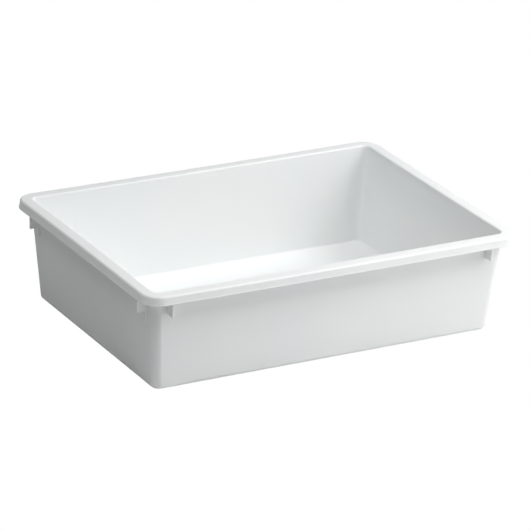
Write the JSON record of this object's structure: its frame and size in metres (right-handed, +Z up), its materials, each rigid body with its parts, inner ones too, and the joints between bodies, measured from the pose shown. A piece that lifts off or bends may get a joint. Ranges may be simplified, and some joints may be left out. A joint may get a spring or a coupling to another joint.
{
  "type": "developing tray",
  "caption": "Deep rectangular photo processing tray with leaning walls, a flat floor, a turned-down rim and stacking lugs under the rim",
  "frame": {"origin": "middle of the underside, on the surface the tray stands on", "axes": "+X along the long side, +Y along the short side towards the back, +Z up"},
  "size_m": [0.42, 0.3, 0.1065],
  "materials": {
    "tray_plastic": "satin white polypropylene with a faint moulded grain"
  },
  "bodies": {
    "root": {"floor": "tray_plastic", "base_edge_front": "tray_plastic", "base_edge_right": "tray_plastic", "base_edge_back": "tray_plastic", "base_edge_left": "tray_plastic", "base_edge_corner_front_right": "tray_plastic", "base_edge_corner_back_right": "tray_plastic", "base_edge_corner_back_left": "tray_plastic", "base_edge_corner_front_left": "tray_plastic", "wall_front": "tray_plastic", "wall_right": "tray_plastic", "wall_back": "tray_plastic", "wall_left": "tray_plastic", "wall_corner_front_right": "tray_plastic", "wall_corner_back_right": "tray_plastic", "wall_corner_back_left": "tray_plastic", "wall_corner_front_left": "tray_plastic", "rim_flange_front": "tray_plastic", "rim_flange_right": "tray_plastic", "rim_flange_back": "tray_plastic", "rim_flange_left": "tray_plastic", "rim_flange_corner_front_right": "tray_plastic", "rim_flange_corner_back_right": "tray_plastic", "rim_flange_corner_back_left": "tray_plastic", "rim_flange_corner_front_left": "tray_plastic", "rim_skirt_front": "tray_plastic", "rim_skirt_right": "tray_plastic", "rim_skirt_back": "tray_plastic", "rim_skirt_left": "tray_plastic", "rim_skirt_corner_front_right": "tray_plastic", "rim_skirt_corner_back_right": "tray_plastic", "rim_skirt_corner_back_left": "tray_plastic", "rim_skirt_corner_front_left": "tray_plastic", "lug_front_left": "tray_plastic", "lug_front_right": "tray_plastic", "lug_right_front": "tray_plastic", "lug_right_back": "tray_plastic", "lug_back_right": "tray_plastic", "lug_back_left": "tray_plastic", "lug_left_back": "tray_plastic", "lug_left_front": "tray_plastic"}
  },
  "joints": []
}
